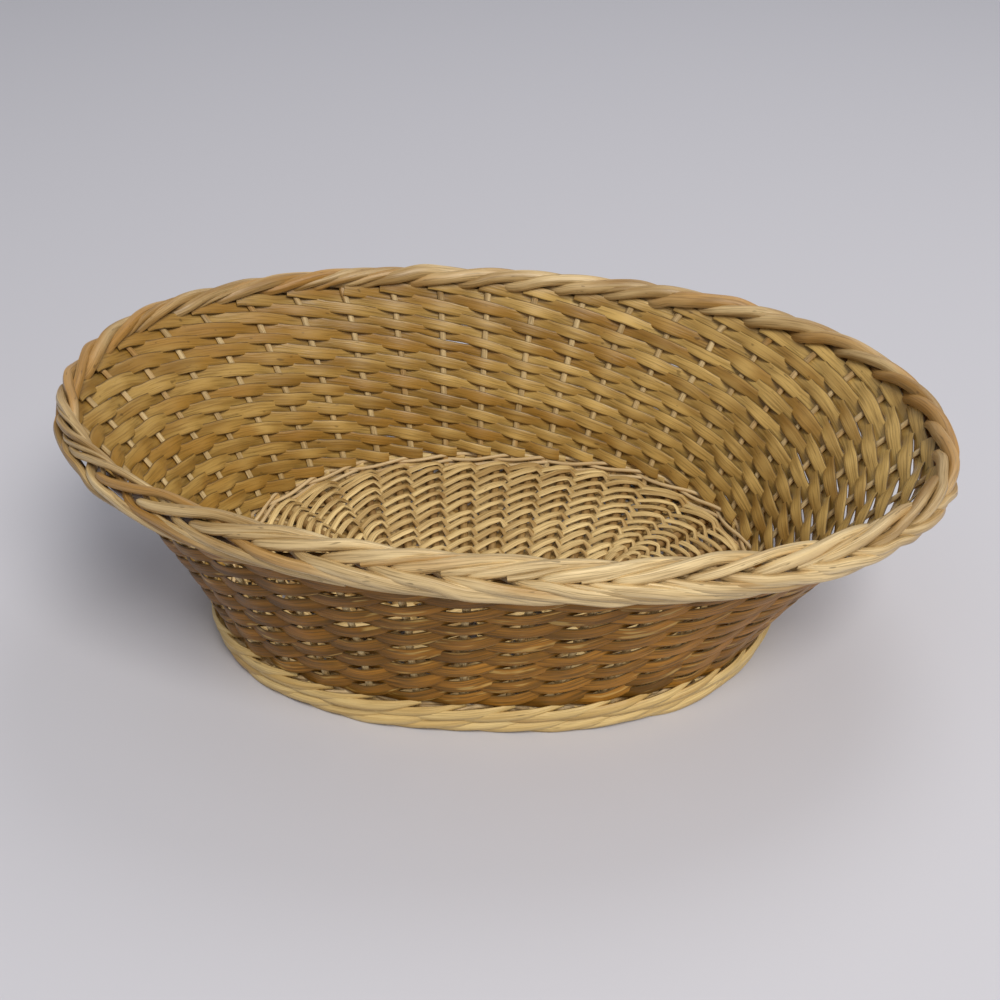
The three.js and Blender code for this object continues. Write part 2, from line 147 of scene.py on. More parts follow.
class Strands:
    """Gathers swept rods and strips into one mesh, with UVs that run along and around each strand."""

    SHARP_ANGLE = math.radians(55)

    def __init__(self):
        self.verts, self.faces, self.coords, self.seed, self.tone = [], [], [], [], []
        self.count = 0

    def add(self, points, lean, thick, wide, sides=8, power=2.0, tone=0.5, closed=False):
        """One strand: thick is its half size towards lean, wide the one across, power squares both."""
        points = np.asarray(points, float)
        n = len(points)
        thick = np.broadcast_to(np.asarray(thick, float), n)
        wide = np.broadcast_to(np.asarray(wide, float), n)
        if closed:
            tangent = unit(np.roll(points, -1, 0) - np.roll(points, 1, 0))
        else:
            tangent = unit(np.gradient(points, axis=0))
        x = unit(lean - tangent * np.sum(lean * tangent, -1, keepdims=True))
        y = np.cross(tangent, x)
        angle = TURN * np.arange(sides) / sides
        c, s = np.cos(angle), np.sin(angle)
        c, s = np.sign(c) * np.abs(c) ** (2 / power), np.sign(s) * np.abs(s) ** (2 / power)
        ring = points[:, None] + x[:, None] * (thick[:, None] * c)[..., None]
        ring = ring + y[:, None] * (wide[:, None] * s)[..., None]
        span = np.linalg.norm(np.diff(points, axis=0, append=points[:1]), axis=1)
        along = np.concatenate([[0.0], np.cumsum(span)]) * MM
        start = self.count
        for i in range(n if closed else n - 1):
            here, there = start + i * sides, start + ((i + 1) % n) * sides
            for j in range(sides):
                k = (j + 1) % sides
                self.faces.append((here + j, here + k, there + k, there + j))
                low, high = j / sides, (j + 1) / sides
                self.coords += [along[i], low, along[i], high, along[i + 1], high, along[i + 1], low]
        if not closed:
            last = start + (n - 1) * sides
            self.faces.append(tuple(range(start + sides - 1, start - 1, -1)))
            self.faces.append(tuple(range(last, last + sides)))
            for j in range(sides - 1, -1, -1):
                self.coords += [along[0], j / sides]
            for j in range(sides):
                self.coords += [along[n - 1], j / sides]
        self.verts.append(ring.reshape(-1, 3))
        self.seed += [rng.random()] * (n * sides)
        self.tone += list(np.repeat(np.broadcast_to(tone, n), sides))
        self.count += n * sides

    def build(self, name, material, slot, *nodes):
        """Makes the mesh a piece of the part, in place of the given nodes."""
        mesh = bpy.data.meshes.new(name)
        mesh.from_pydata(((np.concatenate(self.verts) + ORIGIN) * MM).tolist(), [], self.faces)
        mesh.uv_layers.new(name="strand").data.foreach_set("uv", self.coords)
        for key, values in (("seed", self.seed), ("tone", self.tone)):
            mesh.attributes.new(key, "FLOAT", "POINT").data.foreach_set("value", values)
        mesh.shade_smooth()
        mesh.set_sharp_from_angle(angle=self.SHARP_ANGLE)
        mesh.materials.append(material)
        piece = bpy.data.objects.new(name, mesh)
        bpy.context.scene.collection.objects.link(piece)
        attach(piece, "root")
        if nodes:
            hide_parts(*nodes)


# Materials
def linear(srgb, share=1.0):
    """A colour for a shader's socket, darkened to a share of its light."""
    light = [c / 255 / 12.92 if c <= 10 else ((c / 255 + 0.055) / 1.055) ** 2.4 for c in srgb]
    return [c * share for c in light] + [1.0]


class StrandNodes:
    """Adds shader nodes that know the place along and around a strand, its seed, and its tone, which also
    carries painted shade.
    """

    MIX_FACTOR, MIX_A, MIX_B, MIX_RESULT = 0, 6, 7, 2  # a mix node's sockets for colours

    def __init__(self, tree):
        self.nodes, self.links = tree.nodes, tree.links
        place = self.nodes.new("ShaderNodeUVMap")
        place.uv_map = "strand"
        split = self.nodes.new("ShaderNodeSeparateXYZ")
        self.links.new(place.outputs["UV"], split.inputs[0])
        self.along, self.around = split.outputs["X"], split.outputs["Y"]
        self.seed, self.tone = self.attribute("seed"), self.attribute("tone")

    def attribute(self, name):
        node = self.nodes.new("ShaderNodeAttribute")
        node.attribute_name = name
        return node.outputs["Fac"]

    def put(self, value, socket):
        """Links another node's output to the socket, or sets it to a plain value."""
        if isinstance(value, bpy.types.NodeSocket):
            self.links.new(value, socket)
        else:
            socket.default_value = value

    def calc(self, operation, a, b=0.0):
        node = self.nodes.new("ShaderNodeMath")
        node.operation = operation
        self.put(a, node.inputs[0])
        self.put(b, node.inputs[1])
        return node.outputs[0]

    def noise(self, along, around, apart, detail=2.0):
        """Noise stretched along the strand, other on each strand."""
        vector = self.nodes.new("ShaderNodeCombineXYZ")
        scaled = ((self.along, along), (self.around, around), (self.seed, apart))
        for socket, (source, scale) in zip(vector.inputs, scaled):
            self.put(self.calc("MULTIPLY", source, scale), socket)
        node = self.nodes.new("ShaderNodeTexNoise")
        node.inputs["Scale"].default_value = 1.0
        node.inputs["Detail"].default_value = detail
        self.put(vector.outputs[0], node.inputs["Vector"])
        return node.outputs["Fac"]

    def ramp(self, value, low, high):
        """Climbs smoothly from 0 where the value is low to 1 where it is high."""
        node = self.nodes.new("ShaderNodeMapRange")
        node.interpolation_type = "SMOOTHSTEP"
        node.inputs["From Min"].default_value = low
        node.inputs["From Max"].default_value = high
        self.put(value, node.inputs["Value"])
        return node.outputs["Result"]

    def tint(self, colour, other, where, strength=1.0):
        """The colour with the other one laid over it where the factor says."""
        node = self.nodes.new("ShaderNodeMix")
        node.data_type = "RGBA"
        self.put(self.calc("MULTIPLY", where, strength), node.inputs[self.MIX_FACTOR])
        self.put(colour, node.inputs[self.MIX_A])
        self.put(other, node.inputs[self.MIX_B])
        return node.outputs[self.MIX_RESULT]


def lay_bark_and_shade(make, shader, colour, outside, pale, brown, depth, fine):
    """A split strip's colour.

    Its outside face is darker and duller, with pale slivers; its darkness is partly the colour of the
    strip's outer side and partly painted shade, since that face looks down. Its edges are darkened with
    painted shade.
    """
    across = make.calc("ABSOLUTE", make.calc("SUBTRACT", make.around, 0.5))
    outer_face = make.ramp(across, low=0.22, high=0.3)
    # The outside face's colour, partly the strip's outer side and partly painted shade, darker where the
    # tone is
    bark_and_shade = make.tint(linear(outside), linear(outside, share=0.2), depth)
    bark_and_shade = make.tint(bark_and_shade, brown, make.ramp(fine, low=0.4, high=0.66), strength=0.75)
    sliver = make.ramp(make.noise(along=50, around=9, apart=70), low=0.6, high=0.7)
    bark_and_shade = make.tint(bark_and_shade, linear(pale), sliver, strength=0.55)
    colour = make.tint(colour, bark_and_shade, outer_face, strength=0.9)
    gloss = make.calc("SUBTRACT", 0.5, make.calc("MULTIPLY", outer_face, 0.35))
    make.put(gloss, shader.inputs["Specular IOR Level"])
    # Painted shade along the strip's edges, where strips meet
    from_edge = make.calc("ABSOLUTE", make.calc("SUBTRACT", across, 0.25))
    shade = make.calc("SUBTRACT", 1.0, make.ramp(from_edge, low=0.04, high=0.11))
    return make.tint(colour, brown, shade, strength=0.85)


def willow(name, pale, deep, amber, amber_from, rough, coat, grain, outside=None):
    """Peeled willow: streaks along the strand, amber stains, dark flecks and a fine grain.

    A split strip may have another colour on its outside face. The tone attribute darkens the colour and adds
    amber stains; it holds the strand's random tone and also painted shade.
    """
    material = bpy.data.materials.new(name)
    material.use_nodes = True
    shader = material.node_tree.nodes["Principled BSDF"]
    make = StrandNodes(material.node_tree)
    streak = make.noise(along=18, around=3, apart=40, detail=3)
    fine = make.noise(along=55, around=34, apart=90, detail=4)
    stain = make.noise(along=11, around=0.8, apart=60)
    fleck = make.noise(along=150, around=9, apart=30, detail=1)
    # The tone, which holds random tone and painted shade, darkens the colour and adds amber stains
    tone_and_shade = make.ramp(make.tone, low=0.0, high=1.0)
    streaked = make.calc("MULTIPLY", make.ramp(streak, low=0.3, high=0.72), 0.55)
    depth = make.calc("ADD", streaked, make.calc("MULTIPLY", tone_and_shade, 0.45))
    stain = make.calc("ADD", stain, make.calc("MULTIPLY", tone_and_shade, 0.16))
    brown = linear(deep, share=0.3)

    colour = make.tint(linear(pale), linear(deep), depth)
    stained = make.ramp(stain, low=amber_from, high=amber_from + 0.2)
    colour = make.tint(colour, linear(amber), stained, strength=0.75)
    colour = make.tint(colour, linear(deep, share=0.62), make.ramp(fine, low=0.44, high=0.72), strength=0.6)
    colour = make.tint(colour, brown, make.ramp(fleck, low=0.7, high=0.78), strength=0.55)
    if outside:
        colour = lay_bark_and_shade(make, shader, colour, outside, pale, brown, depth, fine)
    make.put(colour, shader.inputs["Base Color"])

    roughness = make.nodes.new("ShaderNodeMapRange")
    roughness.inputs["To Min"].default_value = rough - 0.09
    roughness.inputs["To Max"].default_value = rough + 0.12
    make.put(streak, roughness.inputs["Value"])
    make.put(roughness.outputs["Result"], shader.inputs["Roughness"])
    shader.inputs["Coat Weight"].default_value = coat
    shader.inputs["Coat Roughness"].default_value = 0.28

    bump = make.nodes.new("ShaderNodeBump")
    bump.inputs["Strength"].default_value = grain
    bump.inputs["Distance"].default_value = 0.0006
    height = make.calc("ADD", make.calc("MULTIPLY", fine, 0.6), make.calc("MULTIPLY", streak, 0.7))
    make.put(height, bump.inputs["Height"])
    make.put(bump.outputs["Normal"], shader.inputs["Normal"])
    return material


PEELED = willow(
    "peeled_rod", pale=(238, 211, 156), deep=(142, 106, 48), amber=(172, 124, 52),
    amber_from=0.6, rough=0.42, coat=0.15, grain=0.9,
)
STRIP = willow(
    "split_strip", pale=(214, 178, 102), deep=(142, 105, 40), amber=(160, 116, 42),
    amber_from=0.58, rough=0.42, coat=0.15, grain=0.9, outside=(178, 116, 30),
)
STRAW = willow(
    "floor_strip", pale=(236, 206, 142), deep=(148, 110, 48), amber=(146, 106, 48),
    amber_from=0.72, rough=0.55, coat=0.0, grain=0.9,
)
STICK = willow(
    "floor_stick", pale=(170, 136, 80), deep=(128, 94, 48), amber=(112, 74, 32),
    amber_from=0.68, rough=0.6, coat=0.0, grain=0.5,
)
THIN = willow(
    "thin_rod", pale=(226, 200, 152), deep=(186, 152, 100), amber=(164, 122, 70),
    amber_from=0.72, rough=0.55, coat=0.0, grain=0.5,
)
FOOT = willow(
    "foot_rod", pale=(226, 198, 134), deep=(190, 152, 82), amber=(188, 128, 54),
    amber_from=0.66, rough=0.48, coat=0.1, grain=0.9,
)

# The rolled border: stakes gone past, then how far outside and above the border's line, in stake diameters
BORDER_PATH = np.array([
    [0.0, 0.0, -1.6],
    [0.0, 0.3, -0.65],
    [0.1, 0.45, -0.02],
    [0.4, 0.3, 0.38],
    [0.9, -0.35, 0.72],
    [1.4, -1.0, 0.55],
    [1.9, -1.2, 0.02],
    [2.3, -0.85, -0.5],
    [2.55, -0.2, -0.75],
    [2.8, 0.7, -0.5],
    [3.1, 1.15, -0.25],
    [3.5, 1.4, -0.45],
    [4.0, 1.55, -1.0],
    [4.5, 1.55, -1.7],
    [5.0, 1.35, -2.1],
    [5.35, 1.25, -2.25],
])
BORDER_RADIUS = [[0, 0.1, 0.4, 4, 5.35], [1.7, 2.5, 2.8, 2.7, 1.9]]  # over the stakes gone past
BORDER_SLIMMER = [[-160, -60], [0.8, 1.0]]  # over x: slimmer rods at the -X end
BORDER_PAINTED_SHADE_ACROSS = [[-100, 20], [0.0, 0.7]]  # over y: painted shade, darker at the back
BORDER_PAINTED_SHADE_ALONG = [[-120, -40, 110, 170], [0.6, 0.0, 0.0, 0.3]]  # over x: painted shade, darker at both ends
BORDER_TONE = 0.15
BORDER_TONE_SPREAD = 0.16
BORDER_FLAT = 0.82
BORDER_JITTER = 0.32
ROD_SPREAD = 0.09  # in radius, from one rod to the next
KNOT_SPREAD = 0.05  # and along a rod
STAKE_POINTS = 3  # first points of the path, which still stand on the stake
STAKE_JITTER = 0.4  # share of the jitter at those points
LEG_ROWS = 7
LEG_TOP = 0.88
LEG_SWAY = 0.012
LEG_SECTION = [1.45, 0.8, 0.45]  # radius, flatness and tone
BEND_SECTION = [1.8, 1.0, 0.5]
BEND_WALK = np.array([0.12, 0.88])
EXTRA_SHARE = 0.35  # of the stakes have a thin extra rod beside them in the border
EXTRA_SIZE = 0.62
EXTRA_PAST = 0.45  # from the stake to the extra rod, in stakes
EXTRA_SPREAD = 0.05
TAIL_INWARD = np.array([-0.5, 4.0, 9.0, 15.0])
TAIL_Z = np.array([5.2, 4.4, 3.7, 3.3])
TAIL_THICK = 1.6
TAIL_WIDE = 1.7


def border_rod(walk, size):
    """Rows of point, outward direction, radius, flatness and tone along a rod of the border."""
    past, outside, above = BORDER_PATH.T
    end = len(past)
    jitter = rng.normal(0, BORDER_JITTER, (2, end))
    jitter[:, :STAKE_POINTS] *= STAKE_JITTER
    points = off_wall(walk + past, 1.0, outside * STAKE + jitter[0], above * STAKE + jitter[1])
    x, y = points[:, 0], points[:, 1]
    radius = size * np.interp(past, *BORDER_RADIUS)
    radius = radius * rng.normal(1.0, ROD_SPREAD) * (1 + rng.normal(0, KNOT_SPREAD, end))
    radius = radius * np.interp(x, *BORDER_SLIMMER)
    tone = rng.normal(BORDER_TONE, BORDER_TONE_SPREAD)
    # Painted shade by place, laid on the rod's random tone
    tone = tone + np.interp(y, *BORDER_PAINTED_SHADE_ACROSS) + np.interp(x, *BORDER_PAINTED_SHADE_ALONG)
    section = np.stack([radius, np.full(end, BORDER_FLAT), tone], 1)
    return np.concatenate([points, wall_frame(walk + past, 1.0)[2], section], 1)


def stake_leg(stake):
    """Rows like those of border_rod from a stake's foot to its tip in the border."""
    walk = stake + 0.5
    rises = np.linspace(float(rise_at(walk, FOOT_Z + STAKE)), LEG_TOP, LEG_ROWS)
    sway = np.concatenate([[0.0], rng.normal(0, LEG_SWAY, LEG_ROWS - 1)])
    low = wall_point(walk + sway, rises)
    section = np.tile(LEG_SECTION, (LEG_ROWS, 1))
    leg = np.concatenate([low, wall_frame(walk, rises)[2], section], 1)
    return np.concatenate([leg, border_rod(walk, 1.0)])


def stake_bend(stake):
    """Rows like those of border_rod under the foot, from the stake to the next one."""
    walk = stake + 0.5 + BEND_WALK
    section = np.tile(BEND_SECTION, (len(walk), 1))
    return np.concatenate([wall_point(walk, 0.0), level_out(walk, 0.0), section], 1)


def stake_tail(stake):
    """The end of a stake that lies under the edge of the floor."""
    walk = stake + 0.5
    rise = rise_at(walk, TAIL_Z)
    return smooth(wall_point(walk, rise) - level_out(walk, rise) * TAIL_INWARD[:, None], ROD_STEP)


def add_rod(strands, rows):
    rows = smooth(rows, ROD_STEP)
    thick, wide = rows[:, 6] * rows[:, 7], rows[:, 6] * (2 - rows[:, 7])
    rows[:, 2] = np.maximum(rows[:, 2], wide)
    strands.add(rows[:, :3], rows[:, 3:6], thick, wide, tone=np.clip(rows[:, 8], 0, 1))


for pair in range(STAKES // 2):
    stakes = (2 * pair, 2 * pair + 1)
    first, second = [stake_leg(stake) for stake in stakes]
    rods = Strands()
    add_rod(rods, np.concatenate([first[::-1], stake_bend(stakes[0]), second]))
    for stake in stakes:
        if rng.random() < EXTRA_SHARE:
            walk = stake + 0.5 + EXTRA_PAST + rng.normal(0, EXTRA_SPREAD)
            add_rod(rods, border_rod(walk, EXTRA_SIZE)[STAKE_POINTS - 1:])
        rods.add(stake_tail(stake), UP, TAIL_THICK, TAIL_WIDE)
    rods.build("stake_rod_%02d" % (pair + 1), PEELED, "stake_willow", "stake_pair_%02d" % (pair + 1))

# Wall strips, each inside one stake and outside the next on its way up
LEVELS = 9  # strips inside a stake, from the bottom to the border
STEPS = 12  # stations from one stake to the next
STRIP_REACH = 1.75  # in and out of the wall's middle surface
STRIP_INSIDE = 3.348  # half widths of a strip inside a stake, outside one and between the two
STRIP_OUTSIDE = 4.068
STRIP_BETWEEN = 3.24
STRIP_HALF_THICKNESS = 0.5
STRIP_WIDER = [[60, 160], [1.0, 1.14]]  # over x: wider strips at the +X end
STRIP_START = -0.32  # a strip's two ends, in stakes past the first and the last stake that it crosses
STRIP_END = 0.28
STRIP_END_SPREAD = 0.08
STRIP_LEVEL = 0.2  # from this far past those stakes the ends run level
STRIP_TURN = 0.22  # lean of the strips, lower edge outwards, where they cross between stakes
STRIP_SWAY = 0.03  # of a whole strip, and at each stake, in levels
STAKE_SWAY = 0.045
SWAY_MOST = 0.065
TWIST_SPREAD = 0.03
RAGGED_SPREAD = 0.08
STRIP_WIDTH_SPREAD = 0.04
STRIP_TONE_AND_SHADE = [[-110.5, 0.0, 114.0], [0.9375, 0.3, 0.12]]  # over x: tone with painted shade, from dark amber at the -X end to pale
STRIP_TONE_SPREAD = 0.24
STRIP_SHADE_BETWEEN = 0.25  # painted shade, darker between the stakes where a strip goes into the weave
WEAVE_BOTTOM = 14.5  # of the lowest strips' middles
WEAVE_DROP = 5.0  # from the border's line to the highest strips' middles
MIDDLE_SLANT = 97.0  # wall from bottom to top strips where they have their usual width


def weave_rise(walk, level):
    """The rise of a level of the weave, and how tall the weave is there."""
    slant = np.linalg.norm(wall_point(walk, 1.0) - wall_point(walk, 0.0), axis=-1)
    bottom = rise_at(walk, WEAVE_BOTTOM)
    top = 1 - WEAVE_DROP / slant
    return bottom + (top - bottom) * level / LEVELS, (top - bottom) * slant


def strip_width(past, crossing):
    """Half width of a strip: cos is 1 inside a stake and -1 outside one, crossing is 1 between the two."""
    middle = (STRIP_OUTSIDE + STRIP_INSIDE) / 2
    swing = (STRIP_OUTSIDE - STRIP_INSIDE) / 2 * np.cos(math.pi * past)
    return middle - swing - (middle - STRIP_BETWEEN) * crossing**2


def add_strip(strands, strip):
    climb = 2 * LEVELS
    past = np.arange(STRIP_START, climb + STRIP_END + rng.normal(0, STRIP_END_SPREAD), 1 / STEPS)
    knots = np.arange(-1, climb + 2)
    walk = strip + 0.5 + past
    sway = rng.normal(0, STRIP_SWAY) + np.interp(past, knots, rng.normal(0, STAKE_SWAY, len(knots)))
    sway = np.clip(sway, -SWAY_MOST, SWAY_MOST)
    rise, tall = weave_rise(walk, np.clip(past, -STRIP_LEVEL, climb + STRIP_LEVEL) / 2 + sway)
    points = off_wall(walk, rise, -STRIP_REACH * np.cos(math.pi * past))
    x = points[:, 0]
    _, up, out = wall_frame(walk, rise)
    crossing = np.sin(math.pi * past) ** 2
    twist = STRIP_TURN * crossing + np.interp(past, knots, rng.normal(0, TWIST_SPREAD, len(knots)))
    ragged = np.interp(past, knots, rng.normal(1.0, RAGGED_SPREAD, len(knots)))
    width = strip_width(past, crossing) * rng.normal(1.0, STRIP_WIDTH_SPREAD)
    width = width * ragged * tall / MIDDLE_SLANT
    width = width * np.interp(x, *STRIP_WIDER)
    # The tone holds painted shade: darker towards the -X end and between the stakes
    tone = np.interp(x, *STRIP_TONE_AND_SHADE) + rng.normal(0, STRIP_TONE_SPREAD) + STRIP_SHADE_BETWEEN * crossing
    lean = out + up * twist[:, None]
    strands.add(points, lean, STRIP_HALF_THICKNESS, width, sides=12, power=2.8, tone=np.clip(tone, 0, 1))


for pair in range(STAKES // 2):
    strips = Strands()
    for strip in (2 * pair, 2 * pair + 1):
        add_strip(strips, strip)
    strips.build("weaver_strips_%02d" % (pair + 1), STRIP, "weaver_willow", "weaver_pair_%02d" % (pair + 1))

# The floor's sticks, which become the ribs that its strands are woven round
CROSS_STICKS = 9
CROSS_STICKS_EACH_SIDE = (CROSS_STICKS - 1) / 2
LONG_STICKS = 3
LONG_STICKS_EACH_SIDE = (LONG_STICKS - 1) / 2
LONG_STICK_SPREAD = 3.0  # between the ends of two long sticks, in stakes
BYE_GAPS = (1.5, 4.5, 15.5, 18.5, 21.5, 24.5, 35.5, 38.5)  # where the bye sticks reach the wall, in stakes
CORE_PITCH = 14.0
LATH_PITCH = 4.6
CORE_HALF_WIDTH = 4.0
CORE_HALF_LENGTH = 58.7
STICK_RADIUS = 2.3
LONG_STICK_RADIUS = 0.95 * STICK_RADIUS
BYE_RADIUS = 0.9 * STICK_RADIUS
BYE_START = 0.12  # share of its rib that a bye stick leaves free at the core
BYE_SHORT = 7.0  # and length that it leaves free at the wall
STICK_OVERHANG = 2.0  # past the wall's middle surface
STICK_STEP = 4.0
STICK_TONE = 0.5
STICK_TONE_SPREAD = 0.2
QUARTER = STAKES // 4
HALF = STAKES // 2


def stick_end(gap):
    rise = rise_at(gap, BASE_Z)
    return wall_point(gap, rise) + level_out(gap, rise) * STICK_OVERHANG


def floor_point(x, y):
    return np.array([BASE_SHIFT[0] + x, BASE_SHIFT[1] + y, BASE_Z])


def add_stick(strands, route, radius):
    tone = np.clip(rng.normal(STICK_TONE, STICK_TONE_SPREAD), 0, 1)
    strands.add(smooth(route, STICK_STEP), UP, radius, radius, tone=tone)


def build_stick(kind, number, route, radius):
    stick = Strands()
    add_stick(stick, route, radius)
    stick.build("%s_rod_%02d" % (kind, number), STICK, "stick_willow", "%s_%02d" % (kind, number))


def cross_ribs(i):
    """Builds a cross stick. A rib is the place of its end, in stakes, and its inner and outer points."""
    gap = QUARTER + i - CROSS_STICKS_EACH_SIDE
    x = (CROSS_STICKS_EACH_SIDE - i) * CORE_PITCH
    straight = [floor_point(x, y) for y in (-CORE_HALF_WIDTH, CORE_HALF_WIDTH)]
    route = [stick_end(-gap), *straight, stick_end(gap)]
    build_stick("cross_stick", i + 1, route, STICK_RADIUS)
    return [(gap, route[2], route[3]), (STAKES - gap, route[1], route[0])]


def long_ribs(i):
    """Builds a long stick, straight between the cross sticks and fanning out past them."""
    gap = LONG_STICK_SPREAD * (i - LONG_STICKS_EACH_SIDE)
    y = (i - LONG_STICKS_EACH_SIDE) * LATH_PITCH
    far = CORE_HALF_LENGTH + 2 * STICK_RADIUS
    straight = [floor_point(x, y) for x in (-far, -CORE_HALF_LENGTH, CORE_HALF_LENGTH, far)]
    route = [stick_end(HALF - gap), *straight, stick_end(gap)]
    build_stick("long_stick", i + 1, route, LONG_STICK_RADIUS)
    return [(gap % STAKES, route[4], route[5]), ((HALF - gap) % STAKES, route[1], route[0])]


def bye_rib(strands, gap):
    """Adds a short stick between the two ribs that are there."""
    before = max((r for r in ribs if r[0] <= gap), key=lambda rib: rib[0])
    after = min((r for r in ribs if r[0] > gap), key=lambda rib: rib[0], default=ribs[0])
    inner, outer = (before[1] + after[1]) / 2, stick_end(gap)
    end = outer + unit(inner - outer) * BYE_SHORT
    add_stick(strands, [inner + (end - inner) * BYE_START, (inner + end) / 2, end], BYE_RADIUS)
    return (gap, inner, outer)


ribs = []
for i in range(CROSS_STICKS):
    ribs += cross_ribs(i)
for i in range(LONG_STICKS):
    ribs += long_ribs(i)
ribs.sort(key=lambda rib: rib[0])
byes = Strands()
for gap in BYE_GAPS:
    ribs.append(bye_rib(byes, gap))
byes.build("bye_sticks", STICK, "stick_willow")
ribs.sort(key=lambda rib: rib[0])

# The floor's two strands, which cross between the ribs all the way from the edge to the core
RIB_INNER = np.array([r[1] for r in ribs])
RIB_OUTER = np.array([r[2] for r in ribs])
RIB_LENGTH = np.linalg.norm((RIB_OUTER - RIB_INNER)[:, :2], axis=1)
RIB_INWARD = unit(RIB_INNER - RIB_OUTER)
FLOOR_EDGE = 4.5  # from the ribs' outer points to the first row
FLOOR_ROWS = 11.0
FIRST_TURN = [-0.2, 0.35]  # rows in from the edge at the ends of the outermost turn
CORE_MARGIN = 0.5
FLOOR_STEPS = 12  # stations from one rib to the next
FLOOR_HALF_THICKNESS = 0.6
EDGE_FLATTER = [[0, 1.2], [0.35, 1.0]]  # over the turns: how far the strands slant next to the wall
SLANT_SPREAD = 0.55
LIFT_SPREAD = 0.2
FLOOR_WIDTH_SPREAD = 0.13
FLOOR_TONE = 0.32
PATCH_TONE_SPREAD = 0.25
RIB_TONE_SPREAD = 0.2
PATCH = 12  # ribs that share a tone
# A strand from over one rib to over the rib after next: share of the way, how far inwards in rows, height,
# half width in rows and painted shade, which darkens its colour where it dives under and pales its arch
FLOOR_WAVE = np.array([
    [0.00, -0.22, 3.1, 0.23, -0.1],
    [0.07, -0.08, 3.05, 0.24, -0.15],
    [0.29, 0.38, 1.3, 0.24, -0.05],
    [0.36, 0.42, -1.0, 0.38, 0.4],
    [0.42, 0.44, -2.9, 0.46, 0.6],
    [0.50, 0.40, -3.1, 0.47, 0.7],
    [0.58, 0.24, -3.0, 0.46, 0.7],
    [0.66, 0.02, -2.4, 0.42, 0.7],
    [0.74, -0.18, -1.2, 0.26, 0.7],
    [0.86, -0.42, 2.7, 0.13, 0.5],
    [0.90, -0.42, 3.0, 0.19, 0.1],
])


def on_rib(k, row):
    """Points on the ribs, on rows counted inwards from the floor's edge, and the distance between rows."""
    k = np.asarray(k) % len(ribs)
    pitch = (RIB_LENGTH[k] - FLOOR_EDGE - CORE_MARGIN) / FLOOR_ROWS
    return RIB_OUTER[k] + RIB_INWARD[k] * (FLOOR_EDGE + (row + 0.5) * pitch)[..., None], pitch


def floor_strand(which):
    """One of the two strands: over one rib and under the next, slanting inwards as it goes over."""
    last = int(FLOOR_ROWS * len(ribs))
    met = np.arange(last + 1)
    turns = met / len(ribs)
    row = np.where(turns < 1, np.interp(turns, [0, 1], FIRST_TURN), turns - 1 + FIRST_TURN[1])
    line, pitch = on_rib(met, row)
    rows = smooth(np.concatenate([line, pitch[:, None]], 1), even=FLOOR_STEPS)
    t = np.linspace(0, last, len(rows))
    inward = np.cross(UP, unit(np.gradient(rows[:, :3], axis=0)))
    pitch = rows[:, 3]

    def uneven(spread, knots=met):
        """Noise that changes from one knot to the next."""
        return np.interp(t, knots, rng.normal(0, spread, len(knots)))

    share, *columns = FLOOR_WAVE.T
    wave = (t + which) / 2
    inwards, lift, half, painted_light_and_shade = (np.interp(wave, share, column, period=1) for column in columns)
    slant = pitch * inwards * np.interp(t / len(ribs), *EDGE_FLATTER) + uneven(SLANT_SPREAD)
    points = rows[:, :3] + inward * slant[:, None]
    points[:, 2] += lift + uneven(LIFT_SPREAD)
    half = half * pitch * (1 + uneven(FLOOR_WIDTH_SPREAD))
    # Painted shade where the strand dives under a rib and painted light on its arch, on the random tone
    tone = FLOOR_TONE + painted_light_and_shade + uneven(PATCH_TONE_SPREAD, np.arange(0, last + PATCH, PATCH))
    tone = tone + uneven(RIB_TONE_SPREAD)
    strands = Strands()
    strands.add(points, UP, FLOOR_HALF_THICKNESS, half, power=3.4, tone=np.clip(tone, 0, 1))
    return strands


for which, letter in enumerate("ab"):
    floor_strand(which).build("base_strand_" + letter, STRAW, "base_willow", "base_weaver_" + letter)

# Rods woven round the stakes, each inside two of them and outside the third
RING_STEPS = 6  # stations from one stake to the next
RING_WAVES = 14
RING_INSIDE = 0.3  # share by which a wave is longer inside the stakes than outside
RING_LIFT = 1.1  # of the rod's radius, up and down
RING_UNEVEN = 0.25
RING_TONE = 0.45
RING_TONE_SPREAD = 0.2
UPSETT_ROWS = (("lower", 6.6), ("upper", 10.2))
UPSETT_RODS = 2
UPSETT_RADIUS = 1.1
UPSETT_INNER = 2.7
UPSETT_OUTER = 2.0
UPSETT_SHIFT = 0.42  # from one rod of a row to the next, in waves
UPSETT_RISE = 0.5  # and in height


def add_ring(strands, z, radius, inner, outer, shift):
    """A closed rod round the stakes, which reaches inner and outer from the wall's middle surface."""
    t = np.arange(STAKES * RING_STEPS) / RING_STEPS
    walk = t + 0.5
    angle = TURN * (t * RING_WAVES / STAKES + shift)
    uneven = np.interp(t, np.arange(STAKES), rng.normal(0, RING_UNEVEN, STAKES))
    rise = rise_at(walk, z + radius * RING_LIFT * np.sin(angle) + uneven)
    out = level_out(walk, rise)
    swing = np.cos(angle) - RING_INSIDE
    reach = swing * np.where(swing > 0, outer / (1 - RING_INSIDE), inner / (1 + RING_INSIDE))
    tone = np.clip(rng.normal(RING_TONE, RING_TONE_SPREAD), 0, 1)
    points = wall_point(walk, rise) + out * reach[:, None]
    strands.add(points, out, radius, radius, sides=7, tone=tone, closed=True)


for name, z in UPSETT_ROWS:
    upsett = Strands()
    for rod in range(UPSETT_RODS):
        height, shift = z + UPSETT_RISE * rod, UPSETT_SHIFT * rod
        add_ring(upsett, height, UPSETT_RADIUS, UPSETT_INNER, UPSETT_OUTER, shift)
    upsett.build("upsett_rods_" + name, THIN, "upsett_willow", "upsett_rod_" + name)

